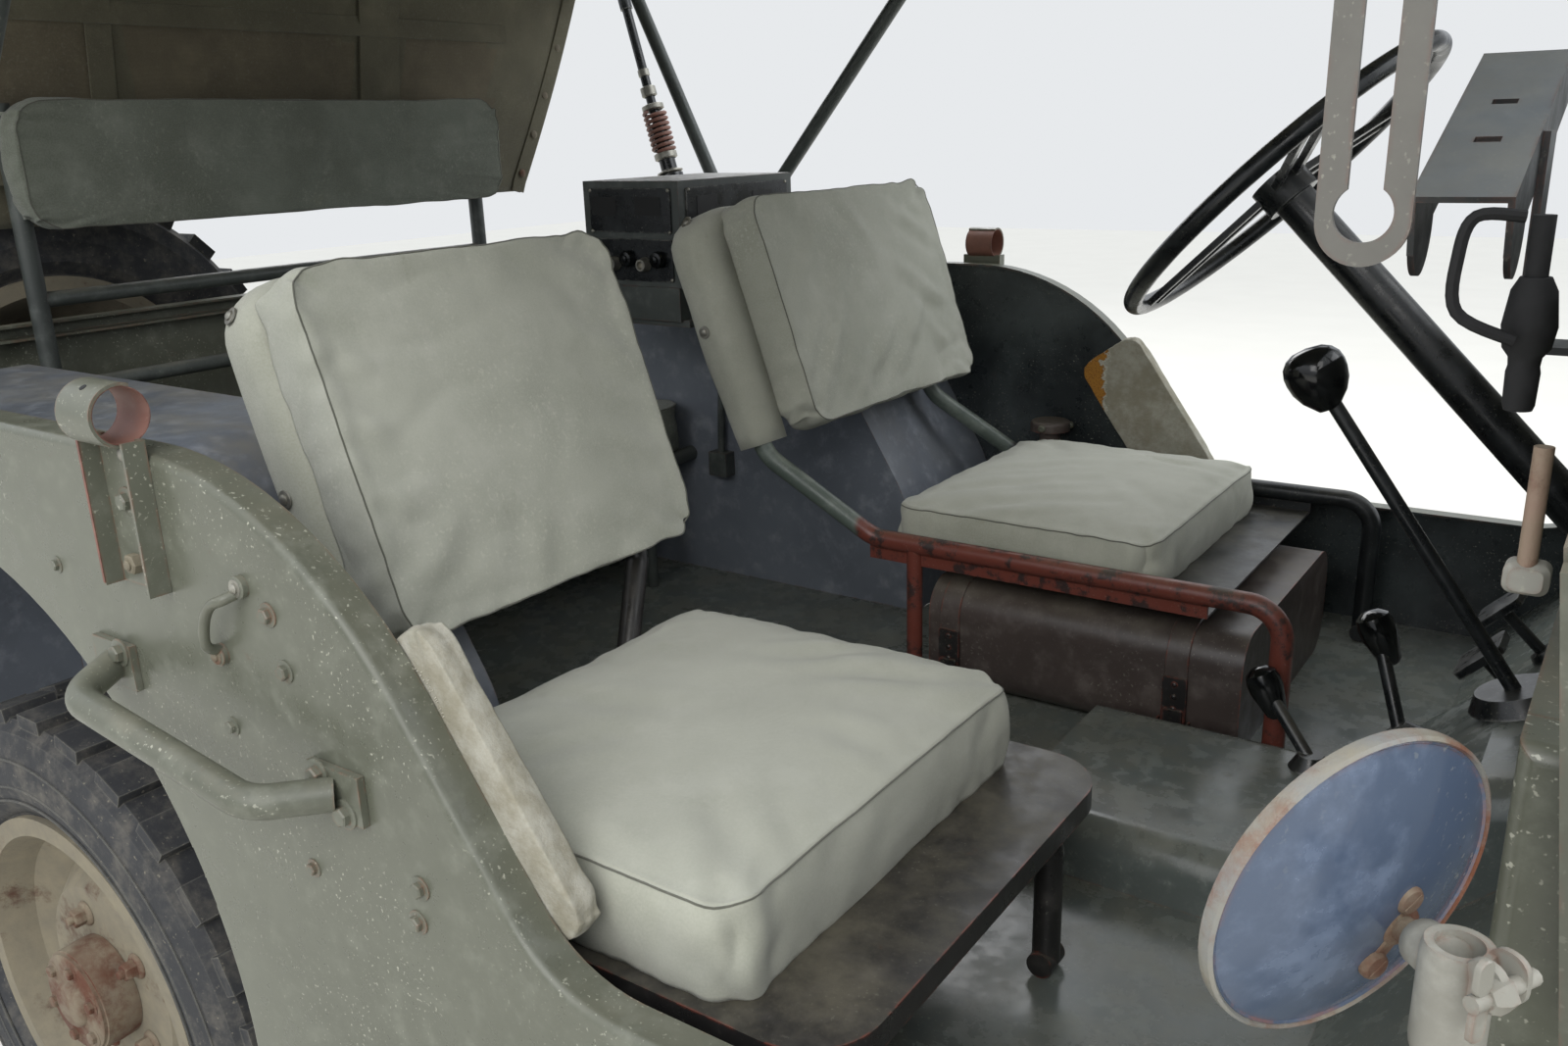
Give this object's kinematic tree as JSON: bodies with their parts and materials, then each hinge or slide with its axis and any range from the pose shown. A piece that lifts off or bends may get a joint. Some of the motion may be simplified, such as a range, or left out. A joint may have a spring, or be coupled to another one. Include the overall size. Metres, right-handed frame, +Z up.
{
  "type": "open military 4x4 utility car",
  "caption": "Open quarter-ton military 4x4 car with canvas top up, fold-up seats, slotted grille, spare wheel, fuel can and radio; opening hood, steering and rolling wheels.",
  "frame": {"origin": "on the ground, midway between nose and tail and between the sides", "axes": "+X forward along the length, +Y to the driver's left side, +Z up"},
  "size_m": [3.334, 1.7782, 2.1729],
  "materials": {
    "body_paint": "satin",
    "floor_paint": "gloss",
    "inner_paint": "satin",
    "chassis_paint": "matte",
    "running_gear": "matte",
    "tank_paint": "satin",
    "seat_steel": "satin",
    "seat_cover": "matte",
    "canvas": "matte",
    "black_steel": "satin",
    "tyre": "matte",
    "rim_paint": "matte",
    "radiator_core": "matte",
    "lamp_lens": "gloss",
    "pane": "gloss"
  },
  "bodies": {
    "body": {"aerial": "black_steel", "axles": "running_gear", "body_sides": "body_paint", "canvas_top": "canvas", "cowl": "body_paint", "driver_back": "seat_cover", "driver_cushion": "seat_cover", "driver_frame": "seat_steel", "edge_pads": "seat_cover", "engine_block": "running_gear", "fenders": "body_paint", "floor_pan": "floor_paint", "frame": "chassis_paint", "front_bumper": "inner_paint", "fuel_can": "body_paint", "fuel_tank": "tank_paint", "gearbox": "running_gear", "grille": "body_paint", "headlamps": "lamp_lens", "leaf_springs": "chassis_paint", "levers": "black_steel", "mirrors": "black_steel", "radiator": "radiator_core", "radio": "body_paint", "rear_cushion": "seat_cover", "rear_fittings": "inner_paint", "rear_panel": "body_paint", "rear_seat_frame": "seat_steel", "side_fittings": "body_paint", "spare_rim": "rim_paint", "spare_tyre": "tyre", "steering_column": "black_steel", "top_bows": "body_paint", "wheelhouses": "floor_paint", "windscreen_frame": "body_paint"},
    "knuckle_left": {"knuckle_left": "running_gear"},
    "knuckle_right": {"knuckle_right": "running_gear"},
    "tie_rod": {"tie_rod": "running_gear"},
    "steering_wheel": {"steering_wheel": "black_steel"},
    "hood": {"hood": "body_paint"},
    "windscreen_inner": {"windscreen_inner": "body_paint", "windscreen_glass": "pane"},
    "passenger_seat": {"passenger_frame": "seat_steel", "passenger_cushion": "seat_cover", "passenger_back": "seat_cover"},
    "rear_back": {"rear_back_frame": "seat_steel", "rear_back": "seat_cover"},
    "wheel_front_left": {"tyre_front_left": "tyre", "rim_front_left": "rim_paint"},
    "wheel_front_right": {"tyre_front_right": "tyre", "rim_front_right": "rim_paint"},
    "wheel_rear_left": {"tyre_rear_left": "tyre", "rim_rear_left": "rim_paint"},
    "wheel_rear_right": {"tyre_rear_right": "tyre", "rim_rear_right": "rim_paint"}
  },
  "joints": [
    {"name": "steering_wheel_turn", "type": "hinge", "parent": "body", "child": "steering_wheel", "pos_m": [0.013, 0.355, 1.192], "axis": [-0.6984, 0, 0.7157], "range_deg": [-400, 400]},
    {"name": "knuckle_left_turn", "type": "hinge", "parent": "body", "child": "knuckle_left", "pos_m": [1.067, 0.524, 0.348], "axis": [0, 0, 1], "range_deg": [-25, 25]},
    {"name": "knuckle_right_turn", "type": "hinge", "parent": "body", "child": "knuckle_right", "pos_m": [1.067, -0.524, 0.348], "axis": [0, 0, 1], "range_deg": [-25, 25]},
    {"name": "tie_rod_turn", "type": "hinge", "parent": "knuckle_left", "child": "tie_rod", "pos_m": [0.917, 0.504, 0.304], "axis": [0, 0, 1], "range_deg": [-25, 25]},
    {"name": "wheel_front_left_spin", "type": "hinge", "parent": "knuckle_left", "child": "wheel_front_left", "pos_m": [1.067, 0.616, 0.348], "axis": [0, 1, 0], "continuous": true},
    {"name": "wheel_front_right_spin", "type": "hinge", "parent": "knuckle_right", "child": "wheel_front_right", "pos_m": [1.067, -0.616, 0.348], "axis": [0, 1, 0], "continuous": true},
    {"name": "wheel_rear_left_spin", "type": "hinge", "parent": "body", "child": "wheel_rear_left", "pos_m": [-0.965, 0.616, 0.348], "axis": [0, 1, 0], "continuous": true},
    {"name": "wheel_rear_right_spin", "type": "hinge", "parent": "body", "child": "wheel_rear_right", "pos_m": [-0.965, -0.616, 0.348], "axis": [0, 1, 0], "continuous": true},
    {"name": "hood_lift", "type": "hinge", "parent": "body", "child": "hood", "pos_m": [0.47, 0, 1.0543], "axis": [0, -1, 0], "range_deg": [0, 95]},
    {"name": "windscreen_swing", "type": "hinge", "parent": "body", "child": "windscreen_inner", "pos_m": [0.35099, 0, 1.66755], "axis": [0, 1, 0], "range_deg": [-25, 0]},
    {"name": "passenger_seat_tip", "type": "hinge", "parent": "body", "child": "passenger_seat", "pos_m": [0.03, -0.44, 0.5523], "axis": [0, 1, 0], "range_deg": [0, 50]},
    {"name": "rear_back_fold", "type": "hinge", "parent": "body", "child": "rear_back", "pos_m": [-1.385, 0, 0.96], "axis": [0, 1, 0], "range_deg": [0, 80]}
  ],
  "couplings": [
    {"joint": "knuckle_left_turn", "follows": "steering_wheel_turn", "ratio": 0.0625},
    {"joint": "knuckle_right_turn", "follows": "steering_wheel_turn", "ratio": 0.0625},
    {"joint": "tie_rod_turn", "follows": "steering_wheel_turn", "ratio": -0.0625}
  ]
}
